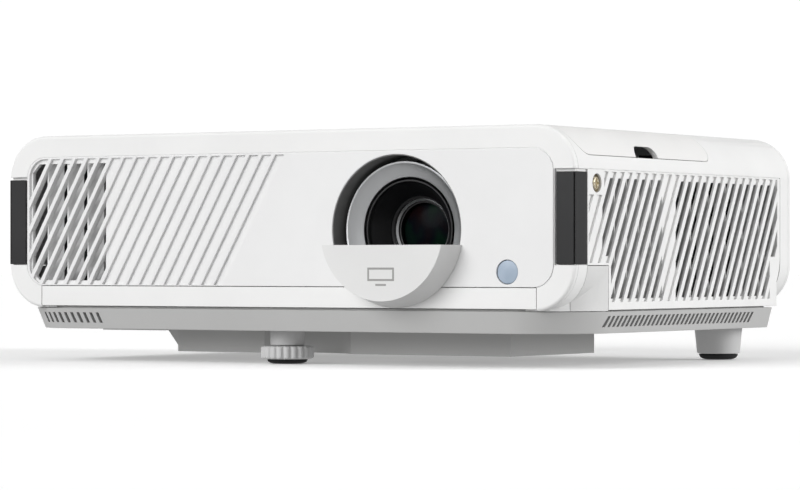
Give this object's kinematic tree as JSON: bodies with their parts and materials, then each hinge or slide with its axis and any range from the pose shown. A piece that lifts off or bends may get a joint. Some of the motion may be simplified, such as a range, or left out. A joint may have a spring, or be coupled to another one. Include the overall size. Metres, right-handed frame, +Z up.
{
  "type": "home projector",
  "caption": "Low, wide home projector with a round recessed lens, leaning-rib front and side grilles, hinged lens cover, adjustable front foot, internal fans and rear sockets.",
  "frame": {"origin": "centre of the footprint on the surface that the feet stand on", "axes": "+X to the right as seen from the front, +Y from the lens towards the rear sockets, +Z up; the lens looks along -Y"},
  "size_m": [0.312, 0.235, 0.108],
  "materials": {
    "shell_white": "fine-textured moulded white plastic",
    "lid_white": "fine-textured moulded off-white plastic",
    "case_grey": "moulded light grey plastic",
    "block_grey": "moulded mid grey plastic",
    "accent_charcoal": "satin charcoal plastic",
    "rubber": "moulded black rubber",
    "brass": "plated screw",
    "steel": "bright steel",
    "window_blue": "glossy infrared-clear window",
    "alloy": "cast and machined aluminium",
    "lens_black": "low-sheen black lens plastic",
    "lens_grey": "satin grey painted ring",
    "lens_glass": "coated optical glass",
    "dark_plastic": "black glass-filled plastic",
    "circuit_board": "green solder-masked board",
    "button_grey": "satin grey key plastic"
  },
  "bodies": {
    "case": {"accent_front_left": "accent_charcoal", "accent_front_right": "accent_charcoal", "accent_side_left": "accent_charcoal", "accent_side_right": "accent_charcoal", "base_block": "block_grey", "bottom_case": "case_grey", "engine_heatsink": "alloy", "exhaust_fan_frame": "dark_plastic", "foot_socket": "case_grey", "front_bezel": "shell_white", "front_corner_left": "shell_white", "front_corner_right": "shell_white", "front_lower_strip": "shell_white", "front_panel": "shell_white", "hdmi_socket_1": "steel", "hdmi_socket_2": "steel", "intake_fan_frame": "dark_plastic", "ir_window": "window_blue", "keypad_board": "circuit_board", "lamp_module": "dark_plastic", "lens_frame": "alloy", "lens_shroud": "lid_white", "lid_hinge_rod": "steel", "light_engine": "alloy", "main_board": "circuit_board", "power_inlet": "dark_plastic", "power_supply": "circuit_board", "rear_cover": "shell_white", "rear_foot_left": "case_grey", "rear_foot_right": "case_grey", "rear_pad_left": "rubber", "rear_pad_right": "rubber", "side_grille_left": "shell_white", "side_grille_right": "shell_white", "side_screw_left": "brass", "side_screw_right": "brass", "speaker": "dark_plastic", "top_cover": "shell_white", "usb_socket": "steel"},
    "lid": {"lens_lid": "lid_white"},
    "lens": {"lens_carriage": "lens_black", "lens_barrel": "lens_black", "lens_hood": "lens_grey", "front_glass": "lens_glass"},
    "focus": {"focus_ring": "lens_black"},
    "zoom": {"zoom_ring": "lens_black"},
    "dial": {"shift_dial": "accent_charcoal"},
    "foot_pad_body": {"foot_pad": "rubber"},
    "foot_screw_body": {"foot_screw": "case_grey"},
    "wheel_body": {"colour_wheel": "steel"},
    "exhaust_rotor": {"exhaust_fan_rotor": "dark_plastic"},
    "intake_rotor": {"intake_fan_rotor": "dark_plastic"},
    "power_key": {"power_button": "button_grey"},
    "source_key": {"source_button": "button_grey"},
    "menu_key": {"menu_button": "button_grey"},
    "up_key": {"up_button": "button_grey"},
    "down_key": {"down_button": "button_grey"},
    "left_key": {"left_button": "button_grey"},
    "right_key": {"right_button": "button_grey"},
    "enter_key": {"enter_button": "button_grey"}
  },
  "joints": [
    {"name": "lid_hinge", "type": "hinge", "parent": "case", "child": "lid", "pos_m": [0.0253, 0, 0.1059], "axis": [0, -1, 0], "range_deg": [0, 92]},
    {"name": "lens_shift", "type": "slide", "parent": "case", "child": "lens", "axis": [0, 0, 1], "range_m": [-0.0025, 0.0025]},
    {"name": "shift_dial_turn", "type": "hinge", "parent": "case", "child": "dial", "pos_m": [0.112, -0.054, 0.088], "axis": [1, 0, 0], "range_deg": [-270, 270]},
    {"name": "focus_turn", "type": "hinge", "parent": "lens", "child": "focus", "pos_m": [0.0642, -0.0785, 0.0619], "axis": [0, 1, 0], "range_deg": [-20, 20]},
    {"name": "zoom_turn", "type": "hinge", "parent": "lens", "child": "zoom", "pos_m": [0.0642, -0.0565, 0.0619], "axis": [0, 1, 0], "range_deg": [-20, 20]},
    {"name": "foot_drop", "type": "slide", "parent": "case", "child": "foot_pad_body", "axis": [0, 0, -1], "range_m": [0, 0.012]},
    {"name": "foot_turn", "type": "hinge", "parent": "foot_pad_body", "child": "foot_screw_body", "pos_m": [-0.0088, -0.0825, 0.005], "axis": [0, 0, -1], "range_deg": [0, 2160]},
    {"name": "colour_wheel_spin", "type": "hinge", "parent": "case", "child": "wheel_body", "pos_m": [0.012, -0.014, 0.06], "axis": [1, 0, 0], "continuous": true},
    {"name": "exhaust_fan_spin", "type": "hinge", "parent": "case", "child": "exhaust_rotor", "pos_m": [-0.107, -0.0825, 0.065], "axis": [0, 1, 0], "continuous": true},
    {"name": "intake_fan_spin", "type": "hinge", "parent": "case", "child": "intake_rotor", "pos_m": [0.1405, 0.035, 0.062], "axis": [1, 0, 0], "continuous": true},
    {"name": "power_press", "type": "slide", "parent": "case", "child": "power_key", "axis": [0, 0, -1], "range_m": [0, 0.0006], "stiffness_N_per_m": 800, "springref_m": -0.0004},
    {"name": "source_press", "type": "slide", "parent": "case", "child": "source_key", "axis": [0, 0, -1], "range_m": [0, 0.0006], "stiffness_N_per_m": 800, "springref_m": -0.0004},
    {"name": "menu_press", "type": "slide", "parent": "case", "child": "menu_key", "axis": [0, 0, -1], "range_m": [0, 0.0006], "stiffness_N_per_m": 800, "springref_m": -0.0004},
    {"name": "up_press", "type": "slide", "parent": "case", "child": "up_key", "axis": [0, 0, -1], "range_m": [0, 0.0006], "stiffness_N_per_m": 800, "springref_m": -0.0004},
    {"name": "down_press", "type": "slide", "parent": "case", "child": "down_key", "axis": [0, 0, -1], "range_m": [0, 0.0006], "stiffness_N_per_m": 800, "springref_m": -0.0004},
    {"name": "left_press", "type": "slide", "parent": "case", "child": "left_key", "axis": [0, 0, -1], "range_m": [0, 0.0006], "stiffness_N_per_m": 800, "springref_m": -0.0004},
    {"name": "right_press", "type": "slide", "parent": "case", "child": "right_key", "axis": [0, 0, -1], "range_m": [0, 0.0006], "stiffness_N_per_m": 800, "springref_m": -0.0004},
    {"name": "enter_press", "type": "slide", "parent": "case", "child": "enter_key", "axis": [0, 0, -1], "range_m": [0, 0.0006], "stiffness_N_per_m": 800, "springref_m": -0.0004}
  ],
  "couplings": [
    {"joint": "shift_dial_turn", "follows": "lens_shift", "rad_per_m": 1885},
    {"joint": "foot_drop", "follows": "foot_turn", "m_per_rad": 0.000318}
  ]
}
